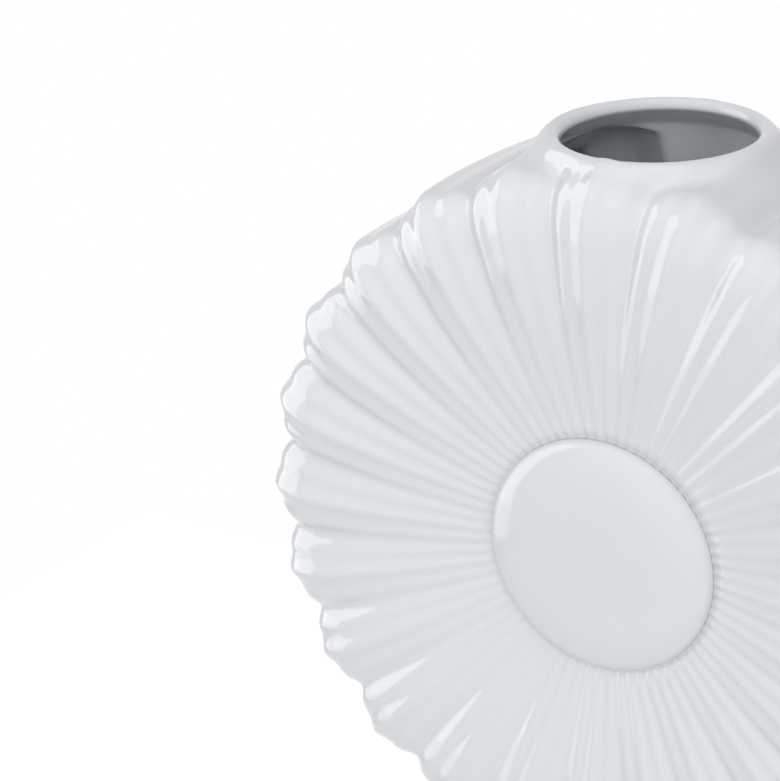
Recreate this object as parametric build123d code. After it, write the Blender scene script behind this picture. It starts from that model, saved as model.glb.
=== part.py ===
from build123d import *

import math
import os
from collections import namedtuple

# A hanging wall vase in glazed porcelain: a round flower of fluted petals with its mouth on top,
# hung by a keyhole in its flat back on one screw in the wall.
# Frame: X to the right, Y into the wall, Z up. The origin is where the screw's axis meets the wall.
# Sizes are in millimetres. Depths count backwards from the plane of the centre boss's rim.

# Flower
PETAL_COUNT = 24
RIBS_PER_PETAL = 3
FLOWER_RADIUS = 80.0  # petal crest where the rounded petal end meets the side wall
SIDE_TAPER = 0.5  # how much narrower the side wall is at the back
FLOWER_DEPTH = 55.0  # from the boss's rim plane to the flat back
FACE_RISE = 0.7  # how far the ribs start in front of the boss's rim plane
FACE_BULGE = 6.3  # how far the petals swell in front of that plane
BULGE_INSET = 14.0  # from the petal tips to the line where they swell most
PETAL_END_DEPTH = 3.5  # depth where the rounded petal end has turned into the side wall
BACK_EDGE = 6.0  # rounding between side wall and back

# Relief of the petals
PETAL_GROOVE = 3.3  # depth of the groove between petals at the rim
FACE_GROOVE = 2.7  # the same where the petals swell most
INNER_GROOVE = 0.1  # the same beside the boss
RIB_VALLEY = 0.46  # depth of the valley between the ribs of a petal at the rim
FACE_RIB_VALLEY = 0.34  # the same where the petals swell most
INNER_RIB_VALLEY = 0.26  # the same beside the boss, where the ribs crowd together
BACK_RIB_VALLEY = 0.2  # the same on the side wall at the back
GROOVE_POWER = 1.8  # shape of a petal across: 1 is a roof, 2 is a round arch
GROOVE_GROWTH = 1.5  # how the relief grows along a petal: 1 is evenly, 2 is late

# Headings of the petal crest in degrees: 0 goes outwards, 90 backwards, below 0 forwards
RIB_END_HEADING = -45
FACE_HEADING = -10
BULGE_HEADING = 0
SIDE_HEADING = 86
BACK_EDGE_HEADING = 94
BACK_HEADING = 180

# Centre boss
BOSS_RADIUS = 24.7
BOSS_SEAT = 0.8  # depth of the flat seat that the boss is stuck on
BOSS_EDGE = 2.7  # rounding of the boss's edge
BOSS_CROWN = 1.5  # rise of the boss's face from the edge to the middle
BOSS_GAP = 1.0  # flat ring between the boss and the ends of the ribs
RIB_END = 2.4  # length over which a rib's end rises

# Cavity
WALL = 4.0
INNER_FACE_STEP = 9.0  # from the boss's edge to the edge of the cavity's flat front
INNER_FACE_HEADING = -8
INNER_CORNER = 6.0  # height of the slope between the cavity's side and the back
INNER_CORNER_HEADING = 100
INNER_BACK_HEADING = 140

# Mouth
MOUTH_RADIUS = 19.0
LIP_THICKNESS = 3.8
LIP_RISE = 1.0  # top of the lip above the petal crests
MOUTH_FORWARD = 2.6  # the mouth's middle in front of the middle of the depth
MOUTH_TILT = 1.6  # degrees by which the mouth leans forwards
COLLAR_ROOT = 14.0  # how far the collar reaches below the lip's top

# Back
BACK_THICKNESS = 4.5
BACK_RIM = 4.5  # flat rim of the body round the back disc
BACK_SEAM = 0.05  # slip in the joint round the back disc
BACK_LEDGE = 4.0  # width of the ledge that the back disc is seated on

# Wall screw and keyhole
HANG_DROP = 22.0  # from the back disc's edge down to the screw
LIFT = 9.0  # travel of the vase from hung to the keyhole's entry
SHANK_RADIUS = 2.0
SHANK_CLEARANCE = 0.5
HANG_CLEARANCE = 0.3  # between the shank and the top of the slot when hung
HEAD_RADIUS = 4.0
HEAD_HEIGHT = 2.8
HEAD_RIM = 0.8  # straight rim under the head's dome
HEAD_CLEARANCE = 0.75
HEAD_STANDOFF = 0.6  # between the head and the back's inner face
SCREW_GRIP = 26.0  # length of the screw in the wall
SCREW_POINT = 4.0
DRIVE_WIDTH = 1.1
DRIVE_LENGTH = 4.6
DRIVE_DEPTH = 1.6

# Hanger pocket
POCKET_WALL = 3.0
POCKET_ROOM = 1.2  # between the screw's head and the pocket's floor
POCKET_EDGE = 2.0

# Wall plug
PLUG_WALL = 0.95  # sleeve round the screw
PLUG_TAIL = 4.0  # sleeve past the screw's point
PLUG_FLANGE_WIDTH = 1.2
PLUG_FLANGE = 0.8
PLUG_GRIP_START = 13.0  # from the wall to the first grip groove
PLUG_GRIP_PITCH = 3.0
PLUG_GRIP_COUNT = 5
PLUG_GRIP_WIDTH = 1.5
PLUG_GRIP_DEPTH = 0.5
PLUG_SLIT = 0.8
PLUG_FIT = 0.05  # between the screw and the plug's bore

# Wall pads
PAD_RADIUS = 5.0
PAD_THICKNESS = 2.0
PAD_EDGE = 0.5
PAD_INSET = 16.0  # from the back disc's edge to a pad's middle
PAD_ANGLES = (45, 135, 225, 315)

# Places that follow from the sizes
BACK_RADIUS = FLOWER_RADIUS - SIDE_TAPER
BACK_DISC_RADIUS = BACK_RADIUS - BACK_EDGE - BACK_RIM
INNER_DEPTH = FLOWER_DEPTH - BACK_THICKNESS
FACE_Y = -(PAD_THICKNESS + FLOWER_DEPTH)
BACK_Y = -PAD_THICKNESS
INNER_BACK_Y = BACK_Y - BACK_THICKNESS
HANG_HEIGHT = BACK_DISC_RADIUS - HANG_DROP
FLOWER_Z = -HANG_HEIGHT
PAD_CIRCLE = BACK_DISC_RADIUS - PAD_INSET
MOUTH_Y = FACE_Y + FLOWER_DEPTH / 2 - MOUTH_FORWARD
LIP_TOP = FLOWER_RADIUS + LIP_RISE
COLLAR_RADIUS = MOUTH_RADIUS + LIP_THICKNESS
POCKET_RADIUS = HEAD_RADIUS + HEAD_CLEARANCE
POCKET_DEPTH = HEAD_STANDOFF + HEAD_HEIGHT + POCKET_ROOM
PLUG_BORE = SHANK_RADIUS + PLUG_FIT
PLUG_RADIUS = PLUG_BORE + PLUG_WALL
PLUG_LENGTH = SCREW_GRIP + PLUG_TAIL

# A knot is a place on a petal's crest: its radius, depth and heading, the depth of the grooves
# between the petals there, and that of the valleys between their ribs.
Knot = namedtuple("Knot", "radius depth heading groove valley")
FACE_START = BOSS_RADIUS + BOSS_GAP
BULGE_RADIUS = FLOWER_RADIUS - BULGE_INSET
RIB_START = Knot(FACE_START, BOSS_SEAT, RIB_END_HEADING, 0, 0)
RIB_TOP = Knot(FACE_START + RIB_END, -FACE_RISE, FACE_HEADING, INNER_GROOVE, INNER_RIB_VALLEY)
BULGE = Knot(BULGE_RADIUS, -FACE_BULGE, BULGE_HEADING, FACE_GROOVE, FACE_RIB_VALLEY)
SIDE = Knot(FLOWER_RADIUS, PETAL_END_DEPTH, SIDE_HEADING, PETAL_GROOVE, RIB_VALLEY)
EDGE = Knot(BACK_RADIUS, FLOWER_DEPTH - BACK_EDGE, BACK_EDGE_HEADING, PETAL_GROOVE, BACK_RIB_VALLEY)
BACK = Knot(BACK_RADIUS - BACK_EDGE, FLOWER_DEPTH, BACK_HEADING, 0, 0)
PETAL_CREST = (RIB_START, RIB_TOP, BULGE, SIDE, EDGE, BACK)
CREST_STATIONS = (2, 6, 6, 4, 3)
POINTS_PER_PETAL = 4 * RIBS_PER_PETAL


def knot_inside(knot):
    """The knot moved through the wall, onto the cavity's side, where there are no ribs."""
    turn = math.radians(knot.heading)
    radius = knot.radius - WALL * math.sin(turn)
    depth = knot.depth + WALL * math.cos(turn)
    return Knot(radius, depth, knot.heading, knot.groove, 0)


CAVITY_START = Knot(BOSS_RADIUS + INNER_FACE_STEP, BOSS_SEAT + WALL, INNER_FACE_HEADING, 0, 0)
CAVITY_CORNER = Knot(
    BACK_RADIUS - WALL, INNER_DEPTH - INNER_CORNER, INNER_CORNER_HEADING, PETAL_GROOVE, 0
)
CAVITY_BACK = Knot(BACK_DISC_RADIUS - BACK_LEDGE, INNER_DEPTH, INNER_BACK_HEADING, 0, 0)
CAVITY_CREST = (CAVITY_START, knot_inside(BULGE), knot_inside(SIDE), CAVITY_CORNER, CAVITY_BACK)
CAVITY_STATIONS = (4, 6, 3, 3)


def between(start, end, share):
    """The knot at a share of the way along the smooth curve from one knot to the next."""
    rest = 1 - share
    first = Vector(start.radius, start.depth)
    last = Vector(end.radius, end.depth)
    turn = math.radians(end.heading - start.heading)
    pull = (last - first).length / math.cos(turn / 4) ** 2
    leaving = Vector(pull, 0).rotate(Axis.Z, start.heading)
    arriving = Vector(pull, 0).rotate(Axis.Z, end.heading)
    ease = share**2 * (3 - 2 * share)
    place = first * (1 - ease) + last * ease
    place += leaving * (share * rest**2) - arriving * (share**2 * rest)
    way = (last - first) * (6 * share * rest)
    way += leaving * (rest * (1 - 3 * share)) + arriving * (share * (3 * share - 2))
    heading = math.degrees(math.atan2(way.Y, way.X))
    grown = share**GROOVE_GROWTH
    groove = start.groove + grown * (end.groove - start.groove)
    valley = start.valley + grown * (end.valley - start.valley)
    return Knot(place.X, place.Y, heading, groove, valley)


def petal_edge(knot, petal):
    """One petal's stretch of a ring, from groove to groove, sunk below the crest by the relief."""
    turn = math.radians(knot.heading)
    pitch = 2 * math.pi / PETAL_COUNT
    steps = range(POINTS_PER_PETAL + 1)
    points = []
    for step in steps:
        across = 2 * step / POINTS_PER_PETAL - 1
        valley = (1 + math.cos(math.pi * RIBS_PER_PETAL * (1 + across))) / 2
        sunk = knot.groove * abs(across) ** GROOVE_POWER + knot.valley * valley
        radius = knot.radius - sunk * math.sin(turn)
        depth = knot.depth + sunk * math.cos(turn)
        angle = math.pi / 2 + pitch * (petal + across / 2)
        height = FLOWER_Z + radius * math.sin(angle)
        points.append(Vector(radius * math.cos(angle), FACE_Y + depth, height))
    return Edge.make_spline(points, parameters=[float(step) for step in steps])


def fluted_ring(knot):
    """One closed line round the flower."""
    return Wire([petal_edge(knot, petal) for petal in range(PETAL_COUNT)])


def fluted_solid(knots, stations, ruled=False):
    """A solid lofted through fluted rings along a line of knots, smooth or in straight steps."""
    rings = [fluted_ring(knots[0])]
    for start, end, count in zip(knots, knots[1:], stations):
        rings += [fluted_ring(between(start, end, (step + 1) / count)) for step in range(count)]
    return Solid.make_loft(rings, ruled)


def flower_plane(depth):
    """A plane across the flower's axis, facing the front."""
    return Plane((0, FACE_Y + depth, FLOWER_Z), x_dir=(1, 0, 0), z_dir=(0, -1, 0))


def back_disc(radius):
    """A disc as thick as the back, where the back is."""
    return extrude(flower_plane(FLOWER_DEPTH) * Circle(radius), BACK_THICKNESS)


def at_mouth(shape):
    """A shape made about the Z axis, with its heights counted from the lip's top, put in its place."""
    return Pos(0, MOUTH_Y, FLOWER_Z + LIP_TOP) * Rot(MOUTH_TILT, 0, 0) * shape


def flower_body(hollow):
    """The cast front: petals, side wall and back rim, with a hole for the collar and a rebate."""
    shell = fluted_solid(PETAL_CREST, CREST_STATIONS) - hollow
    shell -= back_disc(BACK_DISC_RADIUS)
    collar_hole = extrude(Plane.XY.offset(-COLLAR_ROOT) * Circle(COLLAR_RADIUS), 2 * COLLAR_ROOT)
    return shell - at_mouth(collar_hole)


def neck_collar(hollow):
    """The ring round the mouth: a half-round lip above a bore, let into the petals down to the cavity."""
    lip = LIP_THICKNESS / 2
    with BuildSketch(Plane.XZ) as outline:
        with BuildLine():
            arc = ThreePointArc((MOUTH_RADIUS, -lip), (MOUTH_RADIUS + lip, 0), (COLLAR_RADIUS, -lip))
            outer_foot = (COLLAR_RADIUS, -COLLAR_ROOT)
            Polyline(arc @ 1, outer_foot, (MOUTH_RADIUS, -COLLAR_ROOT), arc @ 0)
        make_face()
    return at_mouth(revolve(outline.sketch, Axis.Z)) - hollow


def round_cap(radius, base, rise):
    """The arc of a domed face, from its rim to its top on the axis, in front of its base."""
    ball = (radius**2 + rise**2) / (2 * rise)
    middle = ball * math.sin(math.asin(radius / ball) / 2)
    height = rise - ball + math.sqrt(ball**2 - middle**2)
    return ThreePointArc((radius, base), (middle, base - height), (0, base - rise))


def centre_boss():
    """The smooth round middle of the flower: a low dome with a rounded edge, stuck on its seat."""
    face_radius = BOSS_RADIUS - BOSS_EDGE
    with BuildSketch(Plane((0, FACE_Y, FLOWER_Z))) as outline:
        with BuildLine():
            edge = CenterArc((face_radius, 0), BOSS_EDGE, 0, -90)
            crown = round_cap(face_radius, -BOSS_EDGE, BOSS_CROWN)
            Polyline(crown @ 1, (0, BOSS_SEAT), (BOSS_RADIUS, BOSS_SEAT), edge @ 0)
        make_face()
    return revolve(outline.sketch, Axis((0, FACE_Y, FLOWER_Z), (0, 1, 0)))


def wall_side(y):
    """A plane parallel to the wall through the screw's axis, facing the front."""
    return Plane((0, y, 0), x_dir=(1, 0, 0), z_dir=(0, -1, 0))


def back_wall():
    """The flat back disc, seated in the body's rebate, with the keyhole for the screw's head."""
    slot = SHANK_RADIUS + SHANK_CLEARANCE
    top = SHANK_RADIUS + HANG_CLEARANCE - slot
    keyhole = Pos(0, -LIFT) * Circle(POCKET_RADIUS) + Pos(0, top) * Circle(slot)
    keyhole += Pos(0, (top - LIFT) / 2) * Rectangle(2 * slot, top + LIFT)
    slab = back_disc(BACK_DISC_RADIUS - BACK_SEAM)
    return slab - extrude(wall_side(BACK_Y) * keyhole, BACK_THICKNESS)


def hanger_pocket():
    """The closed cup behind the keyhole, which keeps the water from the screw's head."""
    middle = Pos(0, -LIFT / 2)
    outside = middle * SlotCenterToCenter(LIFT, 2 * (POCKET_RADIUS + POCKET_WALL), rotation=90)
    inside = middle * SlotCenterToCenter(LIFT, 2 * POCKET_RADIUS, rotation=90)
    block = extrude(wall_side(INNER_BACK_Y) * outside, POCKET_DEPTH + POCKET_WALL)
    block = fillet(block.faces().sort_by(Axis.Y)[0].edges(), POCKET_EDGE)
    return block - extrude(wall_side(INNER_BACK_Y) * inside, POCKET_DEPTH)


def wall_pads():
    """Soft round pads stuck on the back, between the vase and the wall."""
    pads = []
    for angle in PAD_ANGLES:
        turn = math.radians(angle)
        place = Pos(PAD_CIRCLE * math.cos(turn), FLOWER_Z + PAD_CIRCLE * math.sin(turn))
        pad = extrude(wall_side(0) * place * Circle(PAD_RADIUS), PAD_THICKNESS)
        pads.append(fillet(pad.faces().sort_by(Axis.Y)[-1].edges(), PAD_EDGE))
    return Compound(children=pads)


def wall_screw():
    """The round-headed screw that the vase hangs on, with a cross recess in its head."""
    seat = INNER_BACK_Y - HEAD_STANDOFF
    with BuildSketch(Plane.XY) as outline:
        with BuildLine():
            dome = round_cap(HEAD_RADIUS, seat - HEAD_RIM, HEAD_HEIGHT - HEAD_RIM)
            Polyline(
                dome @ 1,
                (0, SCREW_GRIP),
                (SHANK_RADIUS, SCREW_GRIP - SCREW_POINT),
                (SHANK_RADIUS, seat),
                (HEAD_RADIUS, seat),
                dome @ 0,
            )
        make_face()
    screw = revolve(outline.sketch, Axis.Y)
    cross = Rectangle(DRIVE_LENGTH, DRIVE_WIDTH) + Rectangle(DRIVE_WIDTH, DRIVE_LENGTH)
    return screw - extrude(wall_side(seat - HEAD_HEIGHT + DRIVE_DEPTH) * cross, DRIVE_DEPTH)


def wall_plug():
    """The plug that the screw grips: a flanged sleeve with grip grooves and a split end."""
    sleeve = extrude(wall_side(PLUG_LENGTH) * Circle(PLUG_RADIUS), PLUG_LENGTH)
    sleeve += extrude(wall_side(0) * Circle(PLUG_RADIUS + PLUG_FLANGE_WIDTH), PLUG_FLANGE)
    groove = Circle(2 * PLUG_RADIUS) - Circle(PLUG_RADIUS - PLUG_GRIP_DEPTH)
    for step in range(PLUG_GRIP_COUNT):
        groove_end = PLUG_GRIP_START + step * PLUG_GRIP_PITCH + PLUG_GRIP_WIDTH
        sleeve -= extrude(wall_side(groove_end) * groove, PLUG_GRIP_WIDTH)
    slit = Rectangle(4 * PLUG_RADIUS, PLUG_SLIT)
    sleeve -= extrude(wall_side(PLUG_LENGTH) * slit, PLUG_LENGTH - PLUG_GRIP_START)
    return sleeve - extrude(wall_side(PLUG_LENGTH) * Circle(PLUG_BORE), PLUG_LENGTH + PLUG_FLANGE)


def main():
    hollow = fluted_solid(CAVITY_CREST, CAVITY_STATIONS, ruled=True)
    pieces = {
        "flower_body": flower_body(hollow),
        "neck_collar": neck_collar(hollow),
        "centre_boss": centre_boss(),
        "back_wall": back_wall(),
        "hanger_pocket": hanger_pocket(),
        "wall_pads": wall_pads(),
        "wall_screw": wall_screw(),
        "wall_plug": wall_plug(),
    }
    os.makedirs("parts", exist_ok=True)
    for name, piece in pieces.items():
        export_step(piece, f"parts/{name}.step")


main()
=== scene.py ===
"""Looks of the hanging wall vase: the glazed porcelain flower, its wall fixing, studio light and camera."""

import math
from collections import namedtuple

import bmesh
import bpy
import numpy as np
from mathutils import Matrix, Vector


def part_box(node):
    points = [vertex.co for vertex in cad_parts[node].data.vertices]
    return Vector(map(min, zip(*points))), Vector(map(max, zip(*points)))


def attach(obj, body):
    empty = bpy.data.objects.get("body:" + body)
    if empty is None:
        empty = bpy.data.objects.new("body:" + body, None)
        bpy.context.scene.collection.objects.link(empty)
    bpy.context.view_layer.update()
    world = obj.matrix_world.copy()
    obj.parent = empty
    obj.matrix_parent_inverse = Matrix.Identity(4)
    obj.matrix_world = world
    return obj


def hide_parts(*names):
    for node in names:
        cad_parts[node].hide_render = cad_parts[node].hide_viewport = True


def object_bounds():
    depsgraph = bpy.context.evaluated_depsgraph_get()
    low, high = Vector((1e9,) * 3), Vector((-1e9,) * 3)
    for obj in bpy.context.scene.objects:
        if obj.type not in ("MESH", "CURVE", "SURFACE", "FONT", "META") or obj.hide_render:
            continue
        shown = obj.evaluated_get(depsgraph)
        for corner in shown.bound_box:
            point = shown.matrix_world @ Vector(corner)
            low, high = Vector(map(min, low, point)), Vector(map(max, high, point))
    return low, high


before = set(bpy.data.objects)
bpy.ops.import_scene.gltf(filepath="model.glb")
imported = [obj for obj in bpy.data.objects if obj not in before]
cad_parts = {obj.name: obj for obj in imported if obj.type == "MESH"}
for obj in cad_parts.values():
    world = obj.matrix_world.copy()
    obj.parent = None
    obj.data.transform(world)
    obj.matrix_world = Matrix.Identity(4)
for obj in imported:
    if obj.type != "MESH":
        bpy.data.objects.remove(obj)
cad_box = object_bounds()

# Sizes are in millimetres, and places are counted from the boss: x to the right, depth backwards from
# the plane of the boss's rim, height above the flower's axis. Blender's own units are metres.
MM = 0.001

# Flower, as in the solids
PETAL_COUNT = 24
RIBS_PER_PETAL = 3
FLOWER_RADIUS = 80.0
BACK_RADIUS = 79.5
FLOWER_DEPTH = 55.0
FACE_RISE = 0.7
FACE_BULGE = 6.3
BULGE_RADIUS = 66.0
PETAL_END_DEPTH = 3.5
BACK_EDGE = 6.0

# Headings of the flower's outline in degrees: 0 runs outwards along the face, 90 backwards along the side
RIB_FOOT_HEADING = -36
RIB_TOP_HEADING = -10
BULGE_HEADING = 0
PETAL_END_HEADING = 86
BACK_EDGE_HEADING = 94
BACK_HEADING = 180
INNER_FACE_HEADING = -8
INNER_CORNER_HEADING = 100
INNER_BACK_HEADING = 160

# Relief of the petals, with ribs a little deeper on the face and the rim than in the solids
PETAL_GROOVE = 3.3
FACE_GROOVE = 2.7
INNER_GROOVE = 0.1
RIB_VALLEY = 0.5
FACE_RIB_VALLEY = 0.55
INNER_RIB_VALLEY = 0.25
BACK_RIB_VALLEY = 0.2
GROOVE_POWER = 1.8
GROOVE_GROWTH = 1.5
GROOVE_ROUNDING = 0.12  # glaze in the grooves, as a share of half a petal's width

# Centre boss
BOSS_RADIUS = 24.7
BOSS_SEAT = 0.8
BOSS_HEIGHT = 4.2
BOSS_FOOT = 0.3  # depth where the glaze on its edge stands upright
BOSS_FULLNESS = 4.0  # 2 is a ball's round, more is flatter in the middle
RIB_FOOT_RADIUS = 25.2  # where the ribs start, in the small valley round the boss
VALLEY_DEPTH = 0.45
RIB_TOP_RADIUS = 28.1
SEAT_RADII = (8.0, 16.0, 22.0)  # rings of the flower's mesh under the boss

# Cavity, behind a thinner wall than in the solids
WALL = 2.6
INNER_FACE_RADIUS = 33.7
INNER_CORNER_DEPTH = 46.0
CAVITY_BACK_RADIUS = 65.0
INNER_DEPTH = 50.5

# Mouth
MOUTH_RADIUS = 19.0
LIP_THICKNESS = 3.8
LIP_TOP = 81.0
MOUTH_DEPTH = 24.9
MOUTH_TILT = 1.6  # degrees by which the mouth leans forwards
FRONT_FLARE = 3.0  # size of the soft corner between collar and petals
SIDE_FLARE = 6.0
THROAT_SPREAD = 4.0  # how far the bore widens below the lip, at 45 degrees
THROAT_REACH = 1.2  # size of the soft edge between bore and cavity

# Back
BACK_DISC_RADIUS = 69.0
RIM_BEVEL = 0.3  # at the edges of the rebate for the back disc

# Fineness of the porcelain's mesh
COLUMNS_PER_RIB = 10
CREST_ROWS = (16, 48, 44, 36, 14)
CAVITY_ROWS = (22, 44, 36, 14)
SURFACE_ROWS = (240, 160, 90)  # finer rows, to measure distances from the petals and the cavity
MOUTH_HALF_ANGLE = 24  # degrees of the flower on each side of the mouth that its patch takes in
MOUTH_END_ROWS = 33  # rows of the petal ends that the patch takes in
OUTER_RINGS = 40
LIP_RINGS = 18
INNER_RINGS = 30
BOSS_ROWS = 64
BOSS_COLUMNS = 240
SHORTEST = 1e-6  # keeps a path with no first leg from being divided by zero

# Glaze
GLAZE_IOR = 1.5
CLAY_COOL = (0.775, 0.795, 0.825)
CLAY_WARM = (0.795, 0.81, 0.83)
CLAY_CLOUDS = 25
GLAZE_PATCHES = 60
GLAZE_ROUGHNESS = (0.07, 0.13)
GLAZE_WAVES = 90
GLAZE_WAVE_HEIGHT = 0.04
GLAZE_WAVE_STRENGTH = 1.0
CLOUD_DETAIL = 2.0

# Finishes of the fixing and the pads
Finish = namedtuple("Finish", "name dark light roughness grain metallic")
RUBBER = Finish("pad_rubber", (0.42, 0.42, 0.4), (0.5, 0.5, 0.48), (0.5, 0.65), 900, 0.0)
STEEL = Finish("zinc_steel", (0.5, 0.5, 0.49), (0.62, 0.62, 0.6), (0.22, 0.38), 1400, 1.0)
NYLON = Finish("plug_nylon", (0.33, 0.34, 0.35), (0.38, 0.39, 0.4), (0.45, 0.6), 1100, 0.0)
GRAIN_DETAIL = 4.0

# Light
AMBIENT_COLOUR = (0.98, 0.99, 1.0)
AMBIENT_WAY = (0.36, -0.91, 0.2)  # where the soft light is brightest: between the front and the camera
AMBIENT_RANGE = (-0.1, 1.0)  # shares of that way between which it grows
AMBIENT = (0.22, 1.23)
FLOOR_DROP = 700.0  # below the vase, so that it hides no softbox from the glaze
FLOOR_HALF = 1200.0
FLOOR_PAINT = 0.8
FLOOR_GLOW = 0.85
# Softboxes: name, azimuth, elevation, distance, width, height, radiance, and whether only gloss shows them
SOFTBOXES = (
    ("key_softbox", -75, 15, 900, 700, 980, 2.5, True),
    ("key_softbox_foot", -75, -19, 900, 700, 190, 1.5, True),
    ("top_softbox", -40, 70, 900, 1300, 1000, 0.5, False),
)

# Camera
CAMERA_ANGLES = (34.185, 22.255, -2.404)  # azimuth, elevation and roll in degrees
CAMERA_AIM = (-48.33, 0.0, 26.17)
CAMERA_DISTANCE = 482.5
CAMERA_SENSOR = 36.0
CAMERA_LENS = 108.9
CAMERA_NEAR = 10.0

Knot = namedtuple("Knot", "radius depth heading groove valley")
CREST = (
    Knot(RIB_FOOT_RADIUS, VALLEY_DEPTH, RIB_FOOT_HEADING, INNER_GROOVE, INNER_RIB_VALLEY),
    Knot(RIB_TOP_RADIUS, -FACE_RISE, RIB_TOP_HEADING, INNER_GROOVE, INNER_RIB_VALLEY),
    Knot(BULGE_RADIUS, -FACE_BULGE, BULGE_HEADING, FACE_GROOVE, FACE_RIB_VALLEY),
    Knot(FLOWER_RADIUS, PETAL_END_DEPTH, PETAL_END_HEADING, PETAL_GROOVE, RIB_VALLEY),
    Knot(BACK_RADIUS, FLOWER_DEPTH - BACK_EDGE, BACK_EDGE_HEADING, PETAL_GROOVE, BACK_RIB_VALLEY),
    Knot(BACK_RADIUS - BACK_EDGE, FLOWER_DEPTH, BACK_HEADING, 0, 0),
)


def knot_inside(knot):
    """The knot moved through the wall, onto the cavity's side, where there are no ribs."""
    turn = math.radians(knot.heading)
    radius = knot.radius - WALL * math.sin(turn)
    depth = knot.depth + WALL * math.cos(turn)
    return Knot(radius, depth, knot.heading, knot.groove, 0)


CAVITY = (
    Knot(INNER_FACE_RADIUS, BOSS_SEAT + WALL, INNER_FACE_HEADING, 0, 0),
    *(knot_inside(knot) for knot in CREST[2:4]),
    Knot(BACK_RADIUS - WALL, INNER_CORNER_DEPTH, INNER_CORNER_HEADING, PETAL_GROOVE, 0),
    Knot(CAVITY_BACK_RADIUS, INNER_DEPTH, INNER_BACK_HEADING, PETAL_GROOVE, 0),
)

BACK_RIM = (
    (BACK_DISC_RADIUS + RIM_BEVEL, FLOWER_DEPTH),
    (BACK_DISC_RADIUS, FLOWER_DEPTH - RIM_BEVEL),
    (BACK_DISC_RADIUS, INNER_DEPTH + RIM_BEVEL),
    (BACK_DISC_RADIUS - RIM_BEVEL, INNER_DEPTH),
)


def to_frame(points):
    """Places counted from the boss, in millimetres, as places in the frame, in metres."""
    low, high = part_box("centre_boss")
    boss = np.array([(low.x + high.x) / 2, high.y - BOSS_SEAT * MM, (low.z + high.z) / 2])
    return boss + np.asarray(points) * MM


# The fluted surface
def span(start, end, share):
    """Radius, depth, heading, groove and valley along the smooth curve between two knots."""
    share = np.asarray(share)[:, None]
    rest = 1 - share
    first, last = np.array(start[:2]), np.array(end[:2])
    ways = np.radians([start.heading, end.heading])
    pull = np.linalg.norm(last - first) / math.cos((ways[1] - ways[0]) / 4) ** 2
    leaving, arriving = pull * np.stack([np.cos(ways), np.sin(ways)], 1)
    ease = share**2 * (3 - 2 * share)
    place = first + ease * (last - first) + leaving * share * rest**2 - arriving * share**2 * rest
    way = (last - first) * 6 * share * rest
    way = way + leaving * rest * (1 - 3 * share) + arriving * share * (3 * share - 2)
    heading = np.arctan2(way[:, 1], way[:, 0])
    grown = share**GROOVE_GROWTH
    reliefs = np.array(start[3:]) + grown * (np.array(end[3:]) - np.array(start[3:]))
    return np.column_stack([place, heading, reliefs])


def crest_line(knots, counts):
    """Rows of radius, depth, heading, groove and valley along a line of knots."""
    rows = [span(a, b, np.arange(n) / n) for a, b, n in zip(knots, knots[1:], counts)]
    return np.concatenate([*rows, span(knots[-2], knots[-1], [1.0])])


def relief(angle, groove, valley):
    """How far the surface lies below the petal's crest, at an angle about the flower's axis."""
    petal = (angle - math.pi / 2) * PETAL_COUNT / (2 * math.pi)
    across = 2 * np.abs(petal - np.round(petal))
    beside = np.hypot(1 - across, GROOVE_ROUNDING) - GROOVE_ROUNDING
    ribs = (1 + np.cos(math.pi * RIBS_PER_PETAL * (1 + across))) / 2
    return groove * (1 - beside) ** GROOVE_POWER + valley * ribs


def flower_angles():
    """Angles of the mesh's columns, from the bottom round to the bottom, with one at the top."""
    count = COLUMNS_PER_RIB * RIBS_PER_PETAL * PETAL_COUNT
    return -math.pi / 2 + 2 * math.pi * np.arange(count) / count


def fluted_rows(line):
    """Points of the fluted surface along a crest line, as rows by columns."""
    radius, depth, heading, groove, valley = (line[:, i, None] for i in range(5))
    angle = flower_angles()[None, :]
    sunk = relief(angle, groove, valley)
    radius = radius - sunk * np.sin(heading)
    depth = depth + sunk * np.cos(heading)
    return np.stack([radius * np.cos(angle), depth + 0 * angle, radius * np.sin(angle)], -1)


def plain_rows(outline):
    """Rows about the flower's axis through points of radius and depth, with no relief."""
    angle = flower_angles()
    rows = [np.stack([r * np.cos(angle), d + 0 * angle, r * np.sin(angle)], -1) for r, d in outline]
    return np.array(rows)


# The mouth
def fluted_gap(line):
    """A function that gives the distance of points from the fluted surface, below 0 inside it."""

    def gap(points):
        radius = np.hypot(points[:, 0], points[:, 2])
        angle = np.arctan2(points[:, 2], points[:, 0])
        away = (radius[:, None] - line[:, 0]) ** 2 + (points[:, 1:2] - line[:, 1]) ** 2
        near = line[away.argmin(1)]
        out_radius = np.sin(near[:, 2])
        out_depth = -np.cos(near[:, 2])
        off = (radius - near[:, 0]) * out_radius + (points[:, 1] - near[:, 1]) * out_depth
        return off + relief(angle, near[:, 3], near[:, 4])

    return gap


LEAN = np.array(Matrix.Rotation(math.radians(MOUTH_TILT), 3, "X"))
LIP_MIDDLE = np.array([0.0, MOUTH_DEPTH, LIP_TOP])


def from_mouth(points):
    """Places counted upright from the middle of the lip's top, as places counted from the boss."""
    return points @ LEAN.T + LIP_MIDDLE


def to_mouth(points):
    """Places counted from the boss, as places counted upright from the middle of the lip's top."""
    return (points - LIP_MIDDLE) @ LEAN


def bore_gap(points):
    """Distance from the mouth's bore, below 0 inside it."""
    place = to_mouth(points)
    return np.hypot(place[:, 0], place[:, 1]) - MOUTH_RADIUS


def throat_spread(place):
    """How much wider the bore is at places counted from the lip: it widens below the lip."""
    return np.clip(-LIP_THICKNESS / 2 - place[:, 2], 0, THROAT_SPREAD)


def throat_gap(points):
    """Distance from the bore with its widening, below 0 inside it."""
    return bore_gap(points) - throat_spread(to_mouth(points))


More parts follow.
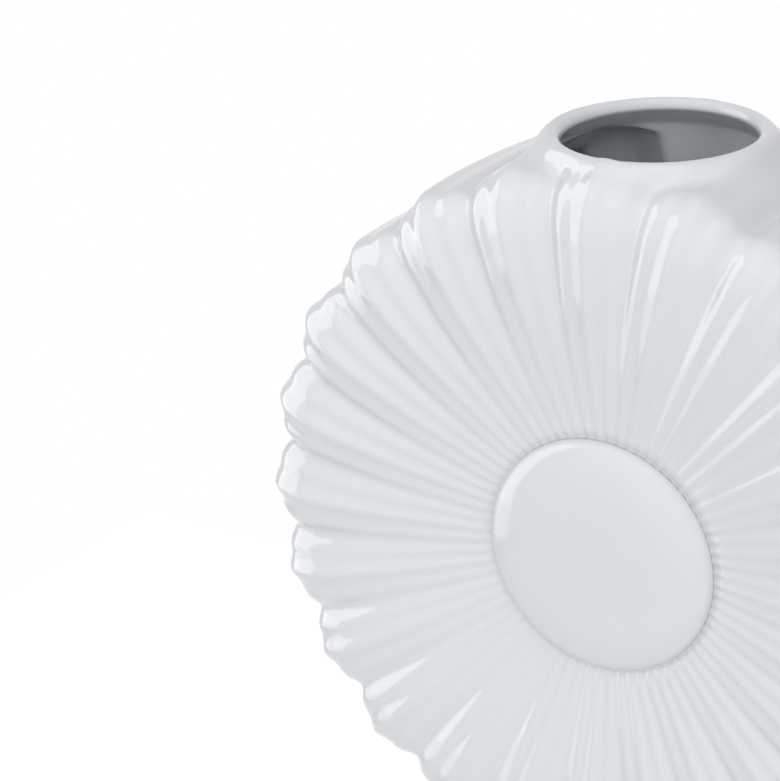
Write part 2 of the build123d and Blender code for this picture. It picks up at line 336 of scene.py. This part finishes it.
def flare_reach(points):
    """Size of the soft corner beside the collar: small in front and behind, large at the sides."""
    place = to_mouth(points)
    sideways = place[:, 0] ** 2 / (place[:, 0] ** 2 + place[:, 1] ** 2)
    return FRONT_FLARE + (SIDE_FLARE - FRONT_FLARE) * sideways


def collar_gap(points):
    """Distance from the collar: a ring with a half-round top."""
    lip = LIP_THICKNESS / 2
    above = np.maximum(to_mouth(points)[:, 2] + lip, 0)
    return np.hypot(bore_gap(points) - lip, above) - lip


def soft_least(first, second, reach):
    """The lesser of two gaps, with a soft corner where they meet."""
    share = np.clip(0.5 + 0.5 * (second - first) / reach, 0, 1)
    return second + (first - second) * share - reach * share * (1 - share)


def settle(points, gap, steps=6, nudge=0.01):
    """Points moved onto the surface where a gap is zero."""
    shape = points.shape
    points = points.reshape(-1, 3)
    for _ in range(steps):
        value = gap(points)
        slopes = [(gap(points + nudge * way) - value) / nudge for way in np.eye(3)]
        slope = np.stack(slopes, -1)
        points = points - (value / (slope**2).sum(1))[:, None] * slope
    return points.reshape(shape)


def relax(rings, gap, rounds=8):
    """Rings between the first and the last, evened out along their surface."""
    for _ in range(rounds):
        across = (np.roll(rings, 1, 1) + np.roll(rings, -1, 1))[1:-1] / 2
        along = (rings[:-2] + rings[2:]) / 2
        middle = rings[1:-1] / 2 + (across + along) / 4
        rings = np.concatenate([rings[:1], settle(middle, gap, steps=2), rings[-1:]])
    return rings


def drop_to(points, gap, below=25.0, steps=30):
    """The heights at which plumb lines down from the points first meet a surface."""
    high = points[:, 2].copy()
    low = high - below
    for _ in range(steps):
        middle = (high + low) / 2
        outside = gap(np.column_stack([points[:, :2], middle])) > 0
        high = np.where(outside, middle, high)
        low = np.where(outside, low, middle)
    return (high + low) / 2


def lip_ring(turn, bearing):
    """A ring on the half-round lip: turned 0 on its top, outwards above 0 and inwards below 0."""
    lip = LIP_THICKNESS / 2
    radius = MOUTH_RADIUS + lip + lip * math.sin(turn)
    height = lip * math.cos(turn) - lip
    ring = np.stack([radius * np.cos(bearing), radius * np.sin(bearing), height + 0 * bearing], -1)
    return from_mouth(ring)


def bent_paths(start, corner, end, count):
    """Rings of points along paths that run straight to a corner and straight on, evenly spaced."""
    first = np.linalg.norm(corner - start, axis=1)
    second = np.linalg.norm(end - corner, axis=1)
    rings = []
    for share in np.linspace(0, 1, count + 1):
        gone = share * (first + second)
        leg_one = np.clip(gone / np.maximum(first, SHORTEST), 0, 1)[:, None]
        leg_two = np.clip((gone - first) / second, 0, 1)[:, None]
        rings.append(start + leg_one * (corner - start) + leg_two * (end - corner))
    return np.array(rings)


def mouth_rings(outer_loop, inner_loop):
    """Rings from the petals over the lip and down the bore to the cavity, between two loops."""
    petals = fluted_gap(crest_line(CREST[2:], SURFACE_ROWS))
    hollow = fluted_gap(crest_line(CAVITY[1:], SURFACE_ROWS))

    def outside(points):
        return soft_least(petals(points), collar_gap(points), flare_reach(points))

    def inside(points):
        return soft_least(hollow(points), throat_gap(points), THROAT_REACH)

    place = to_mouth(outer_loop)
    bearing = np.arctan2(place[:, 1], place[:, 0])
    crest = lip_ring(0, bearing)
    edge = lip_ring(math.pi / 2, bearing)
    corner = edge.copy()
    corner[:, 2] = np.minimum(drop_to(edge, petals), edge[:, 2])
    flare = bent_paths(edge, corner, outer_loop, OUTER_RINGS)
    turns = np.linspace(0, math.pi / 2, LIP_RINGS // 2, endpoint=False)[1:]
    rounding = [lip_ring(turn, bearing) for turn in turns]
    skirt = np.concatenate([crest[None], rounding, flare[:-1]])
    skirt[1:] = settle(skirt[1:], outside)
    skirt = relax(np.concatenate([skirt, outer_loop[None]]), outside)

    turns = np.linspace(0, math.pi / 2, LIP_RINGS // 2 + 1)[1:]
    inner_lip = [lip_ring(-turn, bearing) for turn in turns]
    bore = inner_lip[-1]
    corner = bore.copy()
    corner[:, 2] = np.minimum(drop_to(bore, hollow), bore[:, 2])
    below = to_mouth(corner)
    below[:, :2] *= (1 + throat_spread(below) / MOUTH_RADIUS)[:, None]
    corner = from_mouth(below)
    throat = bent_paths(bore, corner, inner_loop, INNER_RINGS)
    throat[1:-1] = settle(throat[1:-1], inside)
    throat = relax(throat, inside)
    return np.concatenate([skirt[-2::-1], inner_lip[:-1], throat[:-1]])


# Meshes
def new_piece(name, points, faces):
    """A smooth piece of the object from points counted from the boss, with its faces turned outwards."""
    mesh = bpy.data.meshes.new(name)
    mesh.from_pydata(to_frame(points).tolist(), [], faces)
    shape = bmesh.new()
    shape.from_mesh(mesh)
    bmesh.ops.recalc_face_normals(shape, faces=shape.faces)
    shape.to_mesh(mesh)
    shape.free()
    mesh.polygons.foreach_set("use_smooth", [True] * len(mesh.polygons))
    piece = bpy.data.objects.new(name, mesh)
    bpy.context.scene.collection.objects.link(piece)
    return piece


def ring_faces(first, second):
    """Quads between two rings of vertex numbers."""
    return np.stack([first, np.roll(first, -1), np.roll(second, -1), second], -1)


def fan_faces(ring, middle):
    """Triangles from a ring of vertex numbers to one in its middle."""
    return [(a, b, middle) for a, b in zip(ring.tolist(), np.roll(ring, -1).tolist())]


def patch_loop(numbers, half):
    """The vertex numbers round a block of rows at the top of the flower, and which quads it covers."""
    top = numbers.shape[1] // 2
    left, right = top - half, top + half
    loop = [
        numbers[0, left:right],
        numbers[:-1, right],
        numbers[-1, right:left:-1],
        numbers[:0:-1, left],
    ]
    return np.concatenate(loop), set(numbers[:-1, left:right].ravel().tolist())


def flower_piece():
    """Petals, side wall, collar, lip, bore and cavity as one closed skin."""
    seat = plain_rows([(radius, VALLEY_DEPTH) for radius in SEAT_RADII])
    outer = fluted_rows(crest_line(CREST, CREST_ROWS))
    rim = plain_rows(BACK_RIM)
    inner = fluted_rows(crest_line(CAVITY, CAVITY_ROWS))[::-1]
    rows = np.concatenate([seat, outer, rim, inner])
    numbers = np.arange(rows.shape[0] * rows.shape[1]).reshape(rows.shape[:2])
    points = rows.reshape(-1, 3)

    half = round(MOUTH_HALF_ANGLE / 360 * rows.shape[1])
    patch_rows = MOUTH_END_ROWS + sum(CREST_ROWS[3:])
    outer_end = len(seat) + len(outer)
    inner_start = outer_end + len(rim)
    outer_loop, outer_cut = patch_loop(numbers[outer_end - patch_rows - 1 : outer_end], half)
    inner_block = numbers[inner_start : inner_start + patch_rows + 1]
    inner_loop, _ = patch_loop(inner_block[::-1], half)
    inner_cut = patch_loop(inner_block, half)[1]

    rings = mouth_rings(points[outer_loop], points[inner_loop])
    first_new = len(points)
    ring_numbers = first_new + np.arange(rings.shape[0] * rings.shape[1]).reshape(rings.shape[:2])
    chain = [outer_loop, *ring_numbers, inner_loop]

    faces = []
    cut = outer_cut | inner_cut
    for first, second in zip(numbers, numbers[1:]):
        faces += [face for face in ring_faces(first, second).tolist() if face[0] not in cut]
    for first, second in zip(chain, chain[1:]):
        faces += ring_faces(first, second).tolist()
    poles = [(0, VALLEY_DEPTH, 0), (0, BOSS_SEAT + WALL, 0)]
    first_pole = first_new + ring_numbers.size
    faces += fan_faces(numbers[0], first_pole) + fan_faces(numbers[-1], first_pole + 1)
    return new_piece("porcelain_flower", np.concatenate([points, rings.reshape(-1, 3), poles]), faces)


def turned_piece(name, outline, columns):
    """A piece turned about the flower's axis, closed at its two ends, which lie on the axis."""
    angle = 2 * math.pi * np.arange(columns) / columns
    rows = [np.stack([r * np.cos(angle), d + 0 * angle, r * np.sin(angle)], -1) for r, d in outline[1:-1]]
    numbers = np.arange(len(rows) * columns).reshape(-1, columns)
    faces = []
    for first, second in zip(numbers, numbers[1:]):
        faces += ring_faces(first, second).tolist()
    poles = [(0, outline[0][1], 0), (0, outline[-1][1], 0)]
    faces += fan_faces(numbers[0], numbers.size) + fan_faces(numbers[-1], numbers.size + 1)
    return new_piece(name, np.concatenate([*rows, poles]), faces)


def boss_piece():
    """The smooth middle: a cushion, nearly flat in the middle and turning down at its edge."""
    rise = BOSS_HEIGHT + BOSS_FOOT
    outline = []
    for turn in np.linspace(0, math.pi / 2, BOSS_ROWS):
        radius = BOSS_RADIUS * math.sin(turn) ** (2 / BOSS_FULLNESS)
        outline.append((radius, BOSS_FOOT - rise * math.cos(turn)))
    outline += [(BOSS_RADIUS, VALLEY_DEPTH), (0, VALLEY_DEPTH)]
    return turned_piece("porcelain_boss", outline, BOSS_COLUMNS)


# Materials
def new_material(name):
    """A new material with its nodes and links."""
    material = bpy.data.materials.new(name)
    material.use_nodes = True
    return material, material.node_tree.nodes, material.node_tree.links


def add_noise(nodes, links, scale, detail):
    """The value of a noise texture that is fixed to the piece."""
    place = nodes.new("ShaderNodeTexCoord")
    noise = nodes.new("ShaderNodeTexNoise")
    noise.inputs["Scale"].default_value = scale
    noise.inputs["Detail"].default_value = detail
    links.new(place.outputs["Object"], noise.inputs["Vector"])
    return noise.outputs["Fac"]


def add_range(nodes, links, source, low, high):
    """A value from 0 to 1, spread between two values."""
    change = nodes.new("ShaderNodeMapRange")
    change.inputs["To Min"].default_value = low
    change.inputs["To Max"].default_value = high
    links.new(source, change.inputs["Value"])
    return change.outputs["Result"]


def add_mix(nodes, links, share, first, second):
    """A colour between two colours."""
    mix = nodes.new("ShaderNodeMix")
    mix.data_type = "RGBA"
    mix.inputs["A"].default_value = (*first, 1)
    mix.inputs["B"].default_value = (*second, 1)
    links.new(share, mix.inputs["Factor"])
    return mix.outputs["Result"]


def add_bump(nodes, links, source, strength, distance):
    """A normal that a height makes uneven."""
    bump = nodes.new("ShaderNodeBump")
    bump.inputs["Strength"].default_value = strength
    bump.inputs["Distance"].default_value = distance
    links.new(source, bump.inputs["Height"])
    return bump.outputs["Normal"]


def porcelain_material():
    """White porcelain under a clear, slightly wavy glossy glaze."""
    material, nodes, links = new_material("glazed_porcelain")
    shader = nodes["Principled BSDF"]
    shader.inputs["IOR"].default_value = GLAZE_IOR
    cloud = add_noise(nodes, links, CLAY_CLOUDS, CLOUD_DETAIL)
    clay = add_mix(nodes, links, cloud, CLAY_COOL, CLAY_WARM)
    links.new(clay, shader.inputs["Base Color"])
    patches = add_noise(nodes, links, GLAZE_PATCHES, CLOUD_DETAIL)
    links.new(add_range(nodes, links, patches, *GLAZE_ROUGHNESS), shader.inputs["Roughness"])
    waves = add_noise(nodes, links, GLAZE_WAVES, CLOUD_DETAIL)
    normal = add_bump(nodes, links, waves, GLAZE_WAVE_STRENGTH, GLAZE_WAVE_HEIGHT * MM)
    links.new(normal, shader.inputs["Normal"])
    return material


def plain_material(finish):
    """A material with a fine grain in its colour and its roughness."""
    material, nodes, links = new_material(finish.name)
    shader = nodes["Principled BSDF"]
    shader.inputs["Metallic"].default_value = finish.metallic
    grain = add_noise(nodes, links, finish.grain, GRAIN_DETAIL)
    colour = add_mix(nodes, links, grain, finish.dark, finish.light)
    links.new(colour, shader.inputs["Base Color"])
    links.new(add_range(nodes, links, grain, *finish.roughness), shader.inputs["Roughness"])
    return material


# Stage
def sees_background(nodes, links):
    """1 for the rays that should see the white background: from the camera, in gloss and through glass."""
    path = nodes.new("ShaderNodeLightPath")
    first = nodes.new("ShaderNodeMath")
    first.operation = "MAXIMUM"
    second = nodes.new("ShaderNodeMath")
    second.operation = "MAXIMUM"
    links.new(path.outputs["Is Camera Ray"], first.inputs[0])
    links.new(path.outputs["Is Glossy Ray"], first.inputs[1])
    links.new(first.outputs[0], second.inputs[0])
    links.new(path.outputs["Is Transmission Ray"], second.inputs[1])
    return second.outputs[0]


def set_world():
    """Soft light, mostly from the front, and a white background."""
    world = bpy.data.worlds.new("studio")
    bpy.context.scene.world = world
    world.use_nodes = True
    nodes, links = world.node_tree.nodes, world.node_tree.links
    soft = nodes["Background"]
    soft.inputs["Color"].default_value = (*AMBIENT_COLOUR, 1)
    place = nodes.new("ShaderNodeTexCoord")
    front = nodes.new("ShaderNodeVectorMath")
    front.operation = "DOT_PRODUCT"
    front.inputs[1].default_value = AMBIENT_WAY
    links.new(place.outputs["Generated"], front.inputs[0])
    growth = nodes.new("ShaderNodeMapRange")
    growth.inputs["From Min"].default_value, growth.inputs["From Max"].default_value = AMBIENT_RANGE
    growth.inputs["To Min"].default_value, growth.inputs["To Max"].default_value = AMBIENT
    links.new(front.outputs["Value"], growth.inputs["Value"])
    links.new(growth.outputs["Result"], soft.inputs["Strength"])
    white = nodes.new("ShaderNodeBackground")
    white.inputs["Color"].default_value = (1, 1, 1, 1)
    mix = nodes.new("ShaderNodeMixShader")
    links.new(sees_background(nodes, links), mix.inputs["Fac"])
    links.new(soft.outputs[0], mix.inputs[1])
    links.new(white.outputs[0], mix.inputs[2])
    links.new(mix.outputs[0], nodes["World Output"].inputs["Surface"])


def add_floor():
    """A pale floor below the vase, which looks white. Its paint takes the vase's shadow."""
    height = cad_box[0][2] - FLOOR_DROP * MM
    side = FLOOR_HALF * MM
    mesh = bpy.data.meshes.new("floor")
    corners = [(-side, -side, height), (side, -side, height), (side, side, height), (-side, side, height)]
    mesh.from_pydata(corners, [], [(0, 1, 2, 3)])
    floor = bpy.data.objects.new("floor", mesh)
    bpy.context.scene.collection.objects.link(floor)
    material, nodes, links = new_material("floor_white")
    nodes.remove(nodes["Principled BSDF"])
    paint = nodes.new("ShaderNodeBsdfDiffuse")
    paint.inputs["Color"].default_value = (FLOOR_PAINT, FLOOR_PAINT, FLOOR_PAINT, 1)
    glow = nodes.new("ShaderNodeEmission")
    strength = add_range(nodes, links, sees_background(nodes, links), 0, FLOOR_GLOW)
    links.new(strength, glow.inputs["Strength"])
    both = nodes.new("ShaderNodeAddShader")
    links.new(paint.outputs[0], both.inputs[0])
    links.new(glow.outputs[0], both.inputs[1])
    links.new(both.outputs[0], nodes["Material Output"].inputs["Surface"])
    mesh.materials.append(material)


def aim(place, target):
    """The matrix of a lamp at a place, turned towards a target, both in metres."""
    turn = (Vector(target) - Vector(place)).to_track_quat("-Z", "Y")
    return Matrix.Translation(place) @ turn.to_matrix().to_4x4()


def add_softbox(name, azimuth, elevation, distance, width, height, radiance, gloss_only):
    """A rectangular lamp turned to the flower. Azimuth 0 is in front of it, and 90 on the right."""
    around, up = math.radians(azimuth), math.radians(elevation)
    way = np.array([math.sin(around) * math.cos(up), -math.cos(around) * math.cos(up), math.sin(up)])
    middle = to_frame((0, FLOWER_DEPTH / 2, 0))
    lamp = bpy.data.lights.new(name, "AREA")
    lamp.shape = "RECTANGLE"
    lamp.size = width * MM
    lamp.size_y = height * MM
    lamp.energy = radiance * math.pi * lamp.size * lamp.size_y
    holder = bpy.data.objects.new(name, lamp)
    bpy.context.scene.collection.objects.link(holder)
    holder.visible_diffuse = not gloss_only
    holder.matrix_world = aim(middle + way * distance * MM, middle)


def add_camera():
    """The camera at the photograph's viewing angle."""
    azimuth, elevation, roll = (math.radians(angle) for angle in CAMERA_ANGLES)
    back = Vector((
        math.sin(azimuth) * math.cos(elevation),
        -math.cos(azimuth) * math.cos(elevation),
        math.sin(elevation),
    ))
    right = Vector((math.cos(azimuth), math.sin(azimuth), 0))
    up = back.cross(right)
    turned_right = right * math.cos(roll) + up * math.sin(roll)
    turned_up = up * math.cos(roll) - right * math.sin(roll)
    camera = bpy.data.cameras.new("camera")
    camera.lens = CAMERA_LENS
    camera.sensor_width = CAMERA_SENSOR
    camera.clip_start = CAMERA_NEAR * MM
    holder = bpy.data.objects.new("camera", camera)
    bpy.context.scene.collection.objects.link(holder)
    turn = Matrix((turned_right, turned_up, back)).transposed().to_4x4()
    place = Vector(to_frame(CAMERA_AIM)) + back * CAMERA_DISTANCE * MM
    holder.matrix_world = Matrix.Translation(place) @ turn
    bpy.context.scene.camera = holder


def main():
    """Builds the porcelain, dresses the other nodes, and sets the stage."""
    porcelain = porcelain_material()
    rubber = plain_material(RUBBER)
    steel = plain_material(STEEL)
    nylon = plain_material(NYLON)
    flower = flower_piece()
    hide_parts("flower_body", "neck_collar")
    boss = boss_piece()
    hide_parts("centre_boss")
    for piece in (flower, boss):
        piece.data.materials.append(porcelain)
        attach(piece, "vase")
    finishes = {"back_wall": porcelain, "hanger_pocket": porcelain, "wall_pads": rubber}
    finishes.update({"wall_screw": steel, "wall_plug": nylon})
    for node, material in finishes.items():
        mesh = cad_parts[node].data
        mesh.materials.clear()
        mesh.materials.append(material)
    set_world()
    add_floor()
    for softbox in SOFTBOXES:
        add_softbox(*softbox)
    add_camera()
    bpy.context.scene.view_settings.view_transform = "Standard"


main()
bpy.context.view_layer.update()
